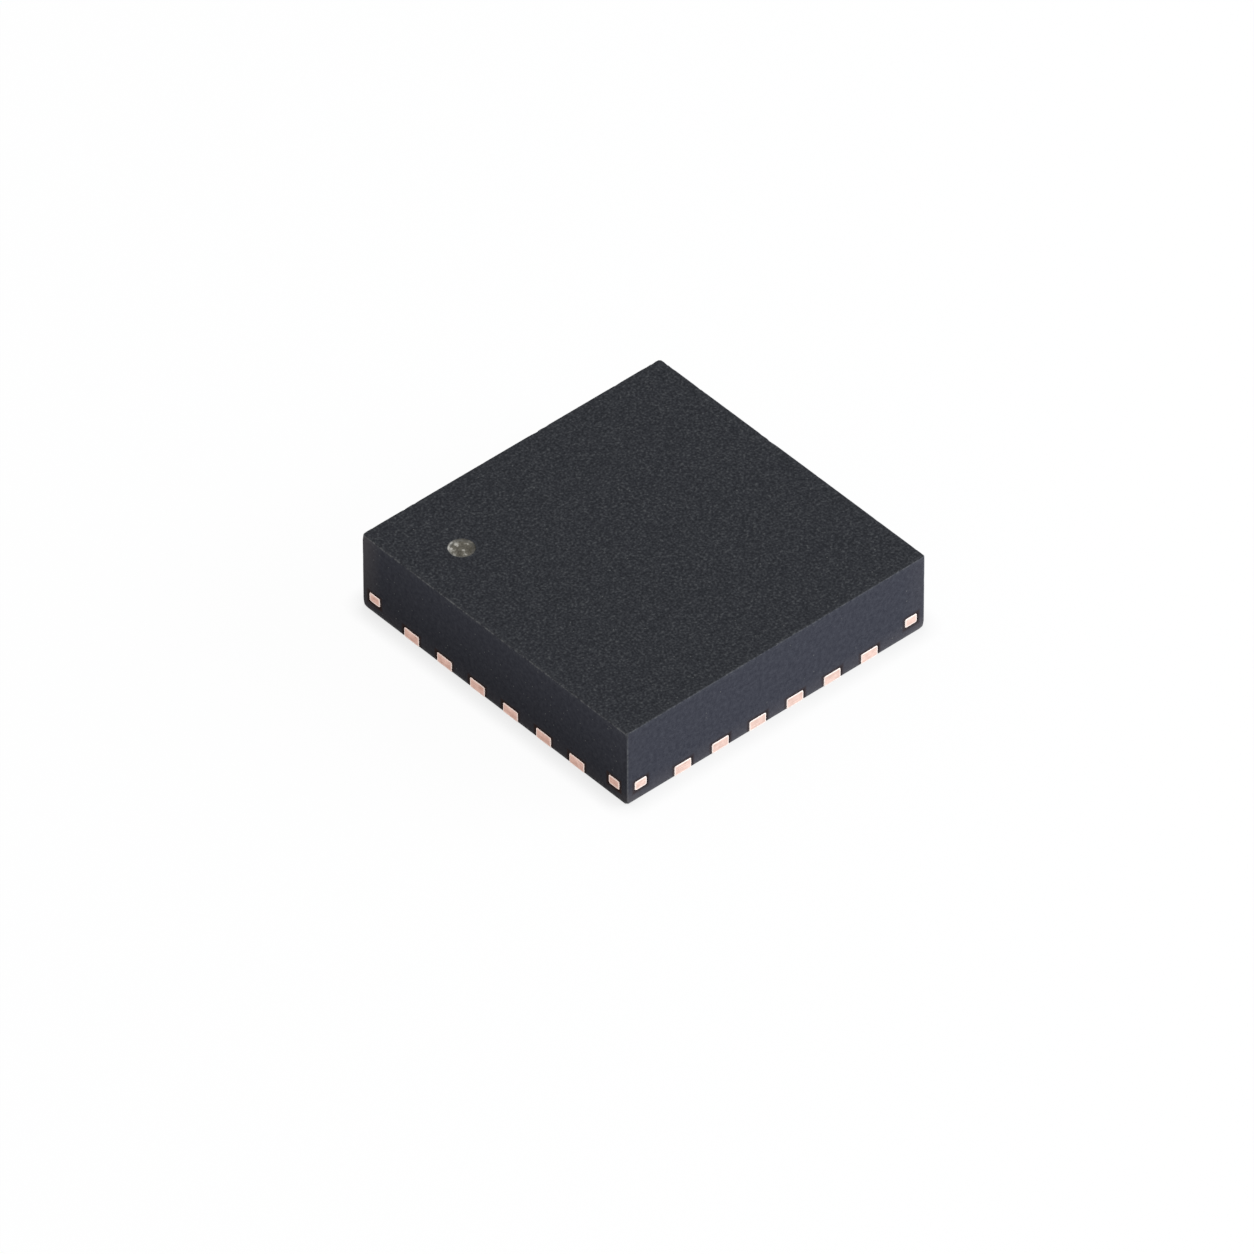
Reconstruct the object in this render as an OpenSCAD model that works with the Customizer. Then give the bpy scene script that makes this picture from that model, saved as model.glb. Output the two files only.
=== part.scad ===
// Quad flat no-lead chip package with 24 leads.
// An etched copper lead frame carries a silicon die that is wired to the leads,
// and all of it is moulded into a black block that is sawn out of a strip.
// Sizes are in millimetres. Z = 0 is the seating plane, in which the solder
// lands and the exposed pad lie. Seen from above, lead 1 is the first one on the
// -X side, next to the corner with +Y, and the leads count on anticlockwise.

/* [Moulded body] */
// Side of the square block
body_side = 4; // [3.9:0.05:5]
// Height from the seating plane to the top face
overall_h = 0.95; // [0.8:0.01:1.2]
// Height of the block's underside above the seating plane
standoff = 0.01; // [0.005:0.005:0.05]
// Radius of the four upright corners
corner_r = 0.03; // [0.02:0.01:0.08]

/* [Lead 1 mark] */
// Diameter of the dot in the top face
dot_d = 0.275; // [0.2:0.005:0.5]
// Depth of the dot
dot_depth = 0.015; // [0.005:0.005:0.05]
// Distance of its centre from the -X side
dot_from_left = 0.61; // [0.4:0.005:0.9]
// Distance of its centre from the +Y side
dot_from_back = 0.825; // [0.4:0.005:0.9]

/* [Leads] */
// Number of leads on each side
leads_per_side = 6; // [3:1:6]
// Distance from one lead's centre to the next
lead_pitch = 0.5; // [0.4:0.01:0.51]
// Width of a lead
lead_w = 0.225; // [0.18:0.005:0.28]
// Length of a solder land, in from the block's side
land_l = 0.4; // [0.3:0.01:0.42]
// Length by which a lead's upper half reaches past its land
tip_overhang = 0.1; // [0.05:0.01:0.12]
// Length at the block's side over which a lead's upper half is etched away
street_w = 0.1; // [0.05:0.01:0.15]
// Radius that etching leaves on the edges of the copper over that length
street_r = 0.025; // [0.01:0.005:0.04]

/* [Copper sheet] */
// Thickness of the sheet
sheet_t = 0.245; // [0.2:0.005:0.3]
// Height of the half-etched step above the seating plane
step_h = 0.13; // [0.1:0.005:0.15]
// Radius that etching leaves in the corners of an outline
etch_r = 0.04; // [0.02:0.005:0.06]

/* [Paddle] */
// Side of the exposed pad
pad_side = 2.45; // [2.2:0.05:2.5]
// Corner cut off the exposed pad next to lead 1
pad_chamfer = 0.3; // [0.2:0.05:0.5]
// Length by which the paddle's upper half reaches past the exposed pad
paddle_overhang = 0.08; // [0.05:0.01:0.1]
// Width of a tie bar on its way to the corner
tie_w = 0.15; // [0.1:0.01:0.18]
// Width of a tie bar's two ends in the block's sides
tie_end_w = 0.16; // [0.12:0.005:0.2]
// Distance from the block's corner to the middle of such an end
tie_end_inset = 0.19; // [0.17:0.005:0.22]
// Clear gap between a tie bar and the leads beside it
tie_gap = 0.12; // [0.08:0.01:0.15]

/* [Die] */
// Side of the square die
die_side = 2; // [1.6:0.05:2.3]
// Thickness of the die
die_t = 0.2; // [0.1:0.01:0.22]
// Thickness of the layer that holds the die to the paddle
attach_t = 0.025; // [0.01:0.005:0.05]
// Width of the rim of that layer that shows round the die
attach_rim = 0.06; // [0.03:0.01:0.1]

/* [Bond wires] */
// Diameter of a wire
wire_d = 0.025; // [0.02:0.001:0.035]
// Distance from one bond pad on the die to the next
bond_pitch = 0.28; // [0.1:0.01:0.3]
// Distance from the die's edge to the bond pads' centres
bond_inset = 0.08; // [0.05:0.01:0.15]
// Diameter of the ball that starts a wire on the die
ball_d = 0.065; // [0.05:0.005:0.08]
// Height of that ball
ball_h = 0.02; // [0.01:0.005:0.03]
// Height of a wire's loop above the die
loop_h = 0.15; // [0.1:0.01:0.18]
// Length of the flattened end on a lead
stitch_l = 0.06; // [0.04:0.01:0.08]
// Width of that end
stitch_w = 0.045; // [0.04:0.005:0.06]
// Thickness of that end
stitch_t = 0.008; // [0.005:0.001:0.015]
// Distance from a lead's inner tip to the end of its wire
stitch_inset = 0.07; // [0.04:0.01:0.09]

/* [Hidden] */
lead_count = 4 * leads_per_side;
half_side = body_side / 2;
lead_l = land_l + tip_overhang;
paddle_side = pad_side + 2 * paddle_overhang;
tie_fork = half_side - tie_end_inset;
tie_end_r = min(street_r, 0.4 * (sheet_t - step_h));
die_z = sheet_t + attach_t;
die_top = die_z + die_t;

// Rings along a wire's loop, and the corners of its six-sided section, which
// is one unit from its centre to its flat top and bottom
loop_rings = 9;
section = [for (side = [0:5]) [cos(60 * side), sin(60 * side)] / cos(30)];
section_sides = len(section);

function numbered(name, pin) = str(name, pin < 10 ? "_0" : "_", pin);
function lead_name(pin) = numbered("lead", pin);
function wire_name(pin) = numbered("bond_wire", pin);

// Turn of a lead's side about Z. The -Y side is drawn, and the -X side comes first.
function side_turn(pin) = 90 * (floor((pin - 1) / leads_per_side) - 1);
// Place along its side, in pitches from the middle
function place(pin) = (pin - 1) % leads_per_side - (leads_per_side - 1) / 2;

// Rectangle with its four corners rounded, centred
module rounded_rect(w, l, r) {
    square([w - 2 * r, l], center = true);
    square([w, l - 2 * r], center = true);
    for (x = [-1, 1], y = [-1, 1])
        translate([x * (w / 2 - r), y * (l / 2 - r)])
            circle(r, $fn = 32);
}

// Finger that comes in from the -Y side, from start to end, with a rounded tip
module finger(start, end) {
    l = end - start;
    translate([0, start + (l - etch_r) / 2])
        square([lead_w, l - etch_r], center = true);
    translate([0, end - etch_r])
        square([lead_w - 2 * etch_r, 2 * etch_r], center = true);
    for (x = [-1, 1])
        translate([x * (lead_w / 2 - etch_r), end - etch_r])
            circle(etch_r, $fn = 32);
}

// Strips along both diagonals that the leads keep out of
module tie_bar_room() {
    for (turn = [45, 135])
        rotate(turn)
            square([2 * body_side, tie_w + 2 * tie_gap], center = true);
}

module lead_outline(pin, start, end) {
    rotate(side_turn(pin))
        translate([place(pin) * lead_pitch, -half_side])
            finger(start, end);
}

// Bar across the saw street on the -Y side, with this section
module street_bar() {
    translate([0, street_w - half_side, 0])
        rotate([90, 0, 0])
            linear_extrude(street_w)
                children();
}

// Section of a lead in the street, flat below and rounded above
module lead_section() {
    translate([-lead_w / 2, 0])
        square([lead_w, step_h - street_r]);
    translate([0, step_h / 2])
        rounded_rect(lead_w, step_h, street_r);
}

// A lead is etched from both faces: the solder land is left below, and above it
// the part that is held in the moulding
module lead(pin) {
    color("#d8a992") {
        rotate(side_turn(pin))
            translate([place(pin) * lead_pitch, 0, 0])
                street_bar()
                    lead_section();
        linear_extrude(step_h)
            lead_outline(pin, street_w, land_l);
        translate([0, 0, step_h])
            linear_extrude(sheet_t - step_h)
                difference() {
                    lead_outline(pin, street_w, lead_l);
                    tie_bar_room();
                }
    }
}

// Tie bar to the corner with +X and +Y, which forks into one end for each side
module tie_bar_outline() {
    rotate(45)
        translate([0, -tie_w / 2])
            square([tie_fork * sqrt(2), tie_w]);
    end_l = tie_end_inset + tie_end_w / 2;
    translate([half_side - end_l, half_side - end_l]) {
        square([end_l - street_w, tie_end_w]);
        square([tie_end_w, end_l - street_w]);
    }
}

// The two tie bar ends in the street on the -Y side
module tie_bar_ends() {
    for (x = [-tie_fork, tie_fork])
        translate([x, 0, (step_h + sheet_t) / 2])
            street_bar()
                rounded_rect(tie_end_w, sheet_t - step_h, tie_end_r);
}

// The exposed pad is left below, and above it a wider paddle with its tie bars
module die_paddle() {
    color("#d8a992") {
        linear_extrude(step_h)
            difference() {
                rounded_rect(pad_side, pad_side, etch_r);
                translate([-pad_side / 2, pad_side / 2])
                    rotate(45)
                        square(sqrt(2) * pad_chamfer, center = true);
            }
        translate([0, 0, step_h])
            linear_extrude(sheet_t - step_h) {
                rounded_rect(paddle_side, paddle_side, etch_r);
                for (turn = [0:90:270])
                    rotate(turn)
                        tie_bar_outline();
            }
        for (turn = [0:90:270])
            rotate(turn)
                tie_bar_ends();
    }
}

module die_attach() {
    color("#c4c6c8")
        translate([0, 0, sheet_t])
            linear_extrude(attach_t)
                rounded_rect(die_side + 2 * attach_rim, die_side + 2 * attach_rim, attach_rim);
}

module silicon_die() {
    color("#5d6470")
        translate([0, 0, die_z])
            linear_extrude(die_t)
                square(die_side, center = true);
}

// Point on a cubic curve with the four control points c, at t from 0 to 1
function cubic(c, t) =
    pow(1 - t, 3) * c[0] + 3 * t * pow(1 - t, 2) * c[1]
    + 3 * pow(t, 2) * (1 - t) * c[2] + pow(t, 3) * c[3];

// Angle of that curve's run at t, up from level
function cubic_slope(c, t) =
    let (run = pow(1 - t, 2) * (c[1] - c[0]) + 2 * t * (1 - t) * (c[2] - c[1])
        + pow(t, 2) * (c[3] - c[2]))
    atan2(run[1], run[0]);

// The rings of a wire that spans a length, each as [run, height, slope, width, thickness]:
// a ball on the die, a loop that leaves it upright, and a flattened end on the lead
function wire_rings(span) =
    let (
        loop_end = span - stitch_l,
        neck = die_top + 1.5 * ball_h,
        rise = 4 / 3 * (loop_h - 1.5 * ball_h),
        curve = [
            [0, neck],
            [0, neck + rise],
            [0.45 * loop_end, neck + rise],
            [loop_end, sheet_t + wire_d / 2]
        ]
    )
    [
        [0, die_top, 90, ball_d, ball_d],
        [0, die_top + ball_h, 90, ball_d, ball_d],
        for (i = [0:loop_rings - 1])
            let (t = i / loop_rings, p = cubic(curve, t))
            [p[0], p[1], cubic_slope(curve, t), wire_d, wire_d],
        [loop_end, sheet_t + wire_d / 2, 0, wire_d, wire_d],
        [span, sheet_t + stitch_t / 2, 0, stitch_w, stitch_t]
    ];

// One wire, drawn on the -Y side and turned to its own side
module bond_wire(pin) {
    from = [place(pin) * bond_pitch, bond_inset - die_side / 2];
    to = [place(pin) * lead_pitch, lead_l - stitch_inset - half_side];
    span = norm(to - from);
    along = (to - from) / span;
    rings = wire_rings(span);
    points = [
        for (ring = rings, corner = section)
            let (
                across = corner[0] * ring[3] / 2,
                up = corner[1] * ring[4] / 2,
                run = ring[0] - up * sin(ring[2]),
                plan = from + run * along + across * [-along[1], along[0]]
            )
            [plan[0], plan[1], ring[1] + up * cos(ring[2])]
    ];
    sides = [
        for (ring = [0:len(rings) - 2], side = [0:section_sides - 1])
            let (
                a = ring * section_sides + side,
                b = ring * section_sides + (side + 1) % section_sides
            )
            each [[a, b, b + section_sides], [a, b + section_sides, a + section_sides]]
    ];
    start = [for (side = [section_sides - 1:-1:0]) side];
    end = [for (side = [0:section_sides - 1]) (len(rings) - 1) * section_sides + side];
    color("#d9b45a")
        rotate(side_turn(pin))
            polyhedron(points, [start, each sides, end]);
}

// The block is moulded round everything else, so each insert leaves its own shape in it
module mould_body() {
    color("#35373b")
        difference() {
            translate([0, 0, standoff])
                linear_extrude(overall_h - standoff)
                    rounded_rect(body_side, body_side, corner_r);
            translate([dot_from_left - half_side, half_side - dot_from_back, overall_h - dot_depth])
                cylinder(d = dot_d, h = 2 * dot_depth, $fn = 64);
            die_paddle();
            die_attach();
            silicon_die();
            for (pin = [1:lead_count]) {
                lead(pin);
                bond_wire(pin);
            }
        }
}

mould_body();
die_paddle();
die_attach();
silicon_die();
for (pin = [1:lead_count]) {
    lead(pin);
    bond_wire(pin);
}
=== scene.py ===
# %% [markdown]
# # A quad flat no-lead chip package
# The package is a black moulded block, four millimetres square, with the sawn ends of copper
# leads flush with its sides. Its solids are already built, so this lesson dresses them: it
# models the block's skin, softens the etched copper, draws the bond wires again and mixes the
# finishes. The frame comes first, because the part's own sizes are read from it.

# %% Load the frame
import math

import bmesh
import bpy
import numpy as np
from mathutils import Matrix, Vector


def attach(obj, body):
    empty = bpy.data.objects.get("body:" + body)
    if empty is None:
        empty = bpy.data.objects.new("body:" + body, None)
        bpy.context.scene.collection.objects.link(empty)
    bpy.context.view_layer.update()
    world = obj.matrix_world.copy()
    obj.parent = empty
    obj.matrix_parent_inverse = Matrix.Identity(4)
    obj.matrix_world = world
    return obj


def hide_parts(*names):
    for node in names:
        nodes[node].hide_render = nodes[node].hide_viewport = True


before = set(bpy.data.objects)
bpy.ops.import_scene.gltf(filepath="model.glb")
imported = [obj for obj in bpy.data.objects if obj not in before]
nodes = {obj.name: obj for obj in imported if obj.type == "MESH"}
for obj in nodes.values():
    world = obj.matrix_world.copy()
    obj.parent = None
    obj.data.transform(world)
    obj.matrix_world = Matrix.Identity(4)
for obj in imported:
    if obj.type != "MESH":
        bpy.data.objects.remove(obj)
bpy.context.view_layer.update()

MM = 0.001
print("frame:", len(nodes), "nodes")


# %% [markdown]
# ## Sizes, read from the solids
# A chip is so small that plain millimetres are easier to think in than metres, so all shapes
# are worked out in millimetres and scaled once, when a mesh is made. The steps of the etched
# copper and the places of the leads and the dot are found by looking at the solids' own points.

# %% Measure the block and its dot
NEAR = 1e-4


def mesh_points(mesh):
    """All points of a mesh, in millimetres, one row for each."""
    points = np.empty(len(mesh.vertices) * 3, np.float32)
    mesh.vertices.foreach_get("co", points)
    return points.reshape(-1, 3).astype(float) / MM


def solid_points(node):
    """All corner points of a solid, in millimetres."""
    return mesh_points(nodes[node].data)


def on_level(points, axis, value):
    """Those of the points that lie in the plane where one axis has this value."""
    return points[np.isclose(points[:, axis], value, atol=NEAR)]


block = solid_points("mould_body")
half_side = block[:, 0].max()
block_low = block[:, 2].min()
block_high = block[:, 2].max()
corner_r = half_side - on_level(block, 1, -half_side)[:, 0].max()

dot_floor = block[block[:, 2] < block_high - NEAR, 2].max()
dot_edge = on_level(block, 2, dot_floor)
dot_centre = (dot_edge.min(0) + dot_edge.max(0))[:2] / 2
dot_radius = np.ptp(dot_edge[:, 0]) / 2
dot_depth = block_high - dot_floor
print("block:", round(2 * half_side, 3), "wide,", round(block_high, 3), "high")
print("corners of the block:", round(corner_r, 3))
print("dot:", dot_centre.round(3), "radius", round(dot_radius, 4), "depth", round(dot_depth, 3))

# %% Measure the copper ends
lead_nodes = sorted(name for name in nodes if name.startswith("lead_"))
wire_nodes = sorted(name for name in nodes if name.startswith("bond_wire_"))
lead_ends = [on_level(solid_points(name), 1, -half_side) for name in lead_nodes]
front_ends = [end for end in lead_ends if len(end)]
lead_centres = np.array([(end[:, 0].min() + end[:, 0].max()) / 2 for end in front_ends])
lead_width = np.ptp(front_ends[0][:, 0])
step_high = front_ends[0][:, 2].max()
sheet_high = solid_points(lead_nodes[0])[:, 2].max()
street_r = step_high - on_level(front_ends[0], 0, front_ends[0][:, 0].max())[:, 2].max()

tie_ends = np.abs(on_level(solid_points("die_paddle"), 1, -half_side)[:, 0])
tie_centre = (tie_ends.min() + tie_ends.max()) / 2
tie_width = np.ptp(tie_ends)
print("leads at", lead_centres.round(3), "width", round(lead_width, 3), "rounding", round(street_r, 3))
print("copper steps at", round(step_high, 3), round(sheet_high, 3), "tie ends at", round(tie_centre, 4))


# %% [markdown]
# ## From arrays to meshes
# Every new piece is a grid of points worked out by numpy and handed to Blender in one go. The
# helper scales it to metres and leaves the object at the origin, so that the pattern of a
# finish stays where the piece is. Numbers stored on the points tell a finish where it is on
# the piece: on a sawn side, on an edge, in the dot.

# %% Mesh helpers
def add_object(name, data):
    """An object at the origin, linked into the scene."""
    thing = bpy.data.objects.new(name, data)
    bpy.context.scene.collection.objects.link(thing)
    return thing


def make_piece(name, points, groups, smooth=True):
    """A mesh object at the origin, from points in millimetres and groups of faces. A group is a
    table of corner numbers with one row for each face."""
    mesh = bpy.data.meshes.new(name)
    faces = [row for group in groups for row in group.tolist()]
    mesh.from_pydata((points * MM).tolist(), [], faces)
    mesh.polygons.foreach_set("use_smooth", np.full(len(mesh.polygons), smooth))
    mesh.update()
    return add_object(name, mesh)


def paint_values(piece, name, values):
    """Stores one number for each point of a piece, for its finish to read."""
    layer = piece.data.attributes.new(name, "FLOAT", "POINT")
    layer.data.foreach_set("value", values.astype(np.float32))


def grid_faces(numbers):
    """Four-sided faces between neighbours in a two-way table of point numbers."""
    a = numbers[:-1, :-1].ravel()
    b = numbers[1:, :-1].ravel()
    c = numbers[1:, 1:].ravel()
    d = numbers[:-1, 1:].ravel()
    return np.column_stack([a, b, c, d])


print("mesh helpers ready")


# %% [markdown]
# ## The moulded block
# The block is cast in a strip and sawn apart, so it is nearly a plain box. What makes it look
# real is small: corners and edges that are a little soft, a hairline seam round each copper
# end, and the dot that a laser burnt into the top. A box with bevels can't hold all of these,
# so its six sides are grids over shared lines. The lines are dense where something happens,
# and each feature is then one function that moves whole arrays of points.

# %% Lines of the grid
TOP_EDGE_R = 0.014
LOW_EDGE_R = 0.005
SEAM = 0.004
OUTLINE = 0.045
UPRIGHT_LINE = 0.014
LINE_WIDTH = 0.016
GRID_STEP = 0.06
DOT_BLEND = 0.1
FLOOR_LINES = 11
FLOOR_INSET = 0.02
PIT_LINES = np.array([-0.014, -0.006, 0, 0.006, 0.014])
DIGITS = 6


def arc_lines(radius, count):
    """Distances from a wall at which equal steps of angle leave a rounded edge."""
    turn = np.linspace(0, math.pi / 4, count + 1)
    return radius * (1 - np.tan(turn))


def window_lines(edge):
    """Lines at the edge of a window: the end and the middle of its dark outline, both sides of its
    seam, and two inside its rounded corner."""
    return edge + np.array([OUTLINE, OUTLINE / 2, SEAM, -SEAM, -street_r / 2, -street_r])


def fill_lines(wanted):
    """The wanted lines in order, with equal lines between them where a gap is over the grid step."""
    wanted = np.unique(np.round(wanted, DIGITS))
    spans = [
        np.linspace(low, high, math.ceil((high - low) / GRID_STEP), endpoint=False)
        for low, high in zip(wanted[:-1], wanted[1:])
    ]
    return np.append(np.concatenate(spans), wanted[-1])


def both_ways(lines):
    """The lines and their mirror image about zero."""
    return np.concatenate([lines, -lines])


top_arc = arc_lines(TOP_EDGE_R, 3)
low_arc = arc_lines(LOW_EDGE_R, 2)
tie_places = np.array([-tie_centre, tie_centre])
wall_lines = np.concatenate([
    both_ways(half_side - top_arc),
    both_ways(half_side - low_arc),
    both_ways(half_side - arc_lines(corner_r, 4)),
    both_ways(half_side - np.array([UPRIGHT_LINE + LINE_WIDTH])),
    np.add.outer(lead_centres, both_ways(window_lines(lead_width / 2))).ravel(),
    np.add.outer(tie_places, both_ways(window_lines(tie_width / 2))).ravel(),
])
dot_reach = dot_radius + DOT_BLEND
floor_lines = np.linspace(0, dot_radius - FLOOR_INSET, FLOOR_LINES)
dot_lines = both_ways(np.concatenate([floor_lines, dot_radius + PIT_LINES, [dot_reach]]))
x_lines = fill_lines(np.append(wall_lines, dot_centre[0] + dot_lines))
y_lines = fill_lines(np.append(wall_lines, dot_centre[1] + dot_lines))
z_lines = fill_lines(np.concatenate([
    block_low + low_arc,
    block_high - top_arc,
    window_lines(step_high),
    -window_lines(-step_high),
    window_lines(sheet_high),
]))
print("grid lines:", len(x_lines), len(y_lines), len(z_lines))


# %% [markdown]
# Neighbouring sides have to share the points of their edge, or the skin would tear when it is
# rounded. So all six grids use the same lines, and points at the same place become one point.

# %% Six sides over shared lines
FACING_OUT = (1, 2, 5)


def side_grid(lines, axis, end):
    """One side of the box: two axes run over their lines, and the third stays at one end."""
    u, v = [a for a in range(3) if a != axis]
    grid = np.empty((len(lines[u]), len(lines[v]), 3))
    grid[..., u] = lines[u][:, None]
    grid[..., v] = lines[v][None, :]
    grid[..., axis] = lines[axis][end]
    return grid


def box_of_grids(lines):
    """All six sides as one set of points, shared along the edges, and faces that look outwards. The
    faces of three sides come out that way, and those of the others are turned over."""
    grids = [side_grid(lines, axis, end) for axis in range(3) for end in (0, -1)]
    points = np.concatenate([grid.reshape(-1, 3) for grid in grids])
    places = np.round(points, DIGITS)
    _, first, number = np.unique(places, axis=0, return_index=True, return_inverse=True)
    number = number.ravel()
    faces = []
    start = 0
    for side, grid in enumerate(grids):
        table = number[start:start + grid[..., 0].size].reshape(grid.shape[:2])
        quads = grid_faces(table)
        faces.append(quads if side in FACING_OUT else quads[:, ::-1])
        start += table.size
    return points[first], np.concatenate(faces)


flat, block_faces = box_of_grids([x_lines, y_lines, z_lines])
print("block grid:", len(flat), "points,", len(block_faces), "faces")


# %% [markdown]
# Rounding works on the flat box. In a corner, the square rings round the corner's centre become
# circular rings, which is the same as scaling each point by its larger coordinate over its
# distance. The plan gets its radius first, and then the top and bottom edges get theirs.

# %% Soft corners and edges
def ring_scale(a, b):
    """Scale that turns the square ring through (a, b) into a circle: the larger over the distance."""
    reach = np.hypot(a, b)
    larger = np.maximum(np.abs(a), np.abs(b))
    return np.divide(larger, reach, out=np.ones_like(reach), where=reach > 0)


wall_room = half_side - np.abs(flat[:, :2]).max(1)
inner = np.clip(flat[:, :2], corner_r - half_side, half_side - corner_r)
corner = flat[:, :2] - inner
skin = flat.copy()
skin[:, :2] = inner + corner * ring_scale(corner[:, 0], corner[:, 1])[:, None]

rows = np.arange(len(flat))
facing = np.abs(flat[:, :2]).argmax(1)
outward = np.zeros((len(flat), 2))
outward[rows, facing] = np.sign(flat[rows, facing])
in_corner = (corner != 0).all(1)
outward[in_corner] = corner[in_corner] / np.linalg.norm(corner[in_corner], axis=1)[:, None]


def soften(radius, level, towards):
    """Rounds the edge round the top or the bottom, again by turning square rings into circles."""
    past_wall = np.maximum(radius - wall_room, 0)
    past_level = np.maximum(radius + towards * (flat[:, 2] - level), 0)
    shrink = ring_scale(past_wall, past_level) - 1
    skin[:, :2] += outward * (past_wall * shrink)[:, None]
    skin[:, 2] += towards * past_level * shrink


soften(TOP_EDGE_R, block_high, 1)
soften(LOW_EDGE_R, block_low, -1)
print("edges rounded by", TOP_EDGE_R, "and", LOW_EDGE_R, "and corners by", round(corner_r, 3))


# %% [markdown]
# Each copper end sits in its own window. Inside it the wall steps back into the copper, where
# it can't be seen, and between the two a groove a few micrometres wide is left. That groove is
# the dark outline that a sawn package shows round its leads. The window's corners are rounded
# like the copper's, again by drawing square rings into circles.

# %% Windows for the copper
WINDOW_DEPTH = 0.03
WINDOW_REACH = 0.2
WINDOW_BLEND = 0.04

along_axis = 1 - facing
along = flat[rows, along_axis]
high = flat[:, 2]


def corner_pull(u, v, radius):
    """Scale about a corner's centre: circles up to the radius, then it fades out to the square grid.
    It works only on points past the centre in both directions."""
    blend = np.clip((np.maximum(u, v) - radius) / WINDOW_BLEND, 0, 1)
    return np.where((u > 0) & (v > 0), blend + (1 - blend) * ring_scale(u, v), 1.0)


def round_window(centre, half_width, level, towards):
    """Draws the two corners of a window at one level into arcs, above or below their centres."""
    for side in (-1, 1):
        mid_along = centre + side * (half_width - street_r)
        mid_high = level - towards * street_r
        past_along = side * (along - mid_along)
        pull = corner_pull(past_along, towards * (high - mid_high), street_r + SEAM) - 1
        pull[wall_room > 0] = 0
        skin[rows, along_axis] += (along - mid_along) * pull
        skin[:, 2] += (high - mid_high) * pull


for centre in lead_centres:
    round_window(centre, lead_width / 2, step_high, 1)
for centre in tie_places:
    round_window(centre, tie_width / 2, step_high, -1)
    round_window(centre, tie_width / 2, sheet_high, 1)


def past_ends(along, high):
    """How far a place on a side lies outside the nearest copper end, and below zero inside it. For an
    upright rectangle that is the largest of the distances past its four edges."""
    past_lead = np.abs(along[:, None] - lead_centres).min(1) - lead_width / 2
    past_tie = np.abs(along[:, None] - tie_places).min(1) - tie_width / 2
    past_lead = np.maximum.reduce([past_lead, high - step_high, -high])
    past_tie = np.maximum.reduce([past_tie, high - sheet_high, step_high - high])
    return np.minimum(past_lead, past_tie)


from_end = past_ends(along, high)
in_window = (from_end < 0) & (wall_room < WINDOW_REACH)
step_back = WINDOW_DEPTH * (1 - wall_room / WINDOW_REACH) * in_window
skin[:, :2] -= outward * step_back[:, None]
print("windows:", int(in_window.sum()), "points stepped back")


# %% [markdown]
# The dot is a shallow pit. The square rings of the grid round its centre are drawn into
# circles, as in the corners, so its rim is truly round. The floor is left uneven, as a laser
# leaves it, and the rim has a thin raised lip.

# %% The burnt dot
LIP_HIGH = 0.002
RIM_DROP = 0.001
PIT_WALL = np.array([-0.014, 0, 0.006, 0.014])
PIT_ROUGH = 0.005
ROUGH_INSET = 0.01
BUMP_RANGE = (-0.2, 1)
DOT_SEED = 24

from_dot = flat[:, :2] - dot_centre
ring = np.abs(from_dot).max(1)
near_dot = (flat[:, 2] == z_lines[-1]) & (ring < dot_reach)
blend = np.clip((ring - dot_radius) / DOT_BLEND, 0, 1)
pull = blend + (1 - blend) * ring_scale(from_dot[:, 0], from_dot[:, 1])
skin[near_dot, :2] = dot_centre + from_dot[near_dot] * pull[near_dot, None]
pit = np.interp(ring, dot_radius + PIT_WALL, [-dot_depth, -RIM_DROP, LIP_HIGH, 0])
uneven = np.random.default_rng(DOT_SEED).uniform(*BUMP_RANGE, len(flat)) ** 3
pit += (ring < dot_radius - ROUGH_INSET) * PIT_ROUGH * uneven
skin[near_dot, 2] += pit[near_dot]
print("dot:", int((near_dot & (ring <= dot_radius)).sum()), "points in the pit")


# %% [markdown]
# The saw and later handling leave small nicks along the edges and blunt the corners, no two of
# them alike. Points on a soft edge are drawn a little way in wherever a smooth random curve along
# the edge is high, and points close to a corner more the closer they are. One number that changes
# along every edge serves as the place on that curve, so the edges need no list of their own.

# %% Nicked edges and blunt corners
NICK_DEPTH = 0.007
NICK_FROM = 0.6
FINE_NICKS = 0.07
BROAD_NICKS = 0.31
BROAD_SHARE = 0.8
RUN_TILT = 3
CURVE_PLACES = 4096
BLUNT_DEPTH = 0.011
BLUNT_REACH = 0.06
LOW_CORNERS = np.array([[0.5, 1.25], [1.25, 1.25]])
TOP_CORNERS = np.array([[0.8, 1.0], [0.5, 0.7]])
CORE = 0.4


def slow_noise(where, period, seed):
    """Smooth random curve from -1 to 1: random heights at even places, joined by cosine steps."""
    heights = np.random.default_rng(seed).uniform(-1, 1, CURVE_PLACES)
    place = where / period + CURVE_PLACES // 2
    whole = np.floor(place).astype(int)
    part = (1 - np.cos(math.pi * (place - whole))) / 2
    return heights[whole] * (1 - part) + heights[whole + 1] * part


def fade(distance, reach):
    """One at no distance, and from there evenly down to zero at the reach."""
    return np.clip(1 - distance / reach, 0, 1)


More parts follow.
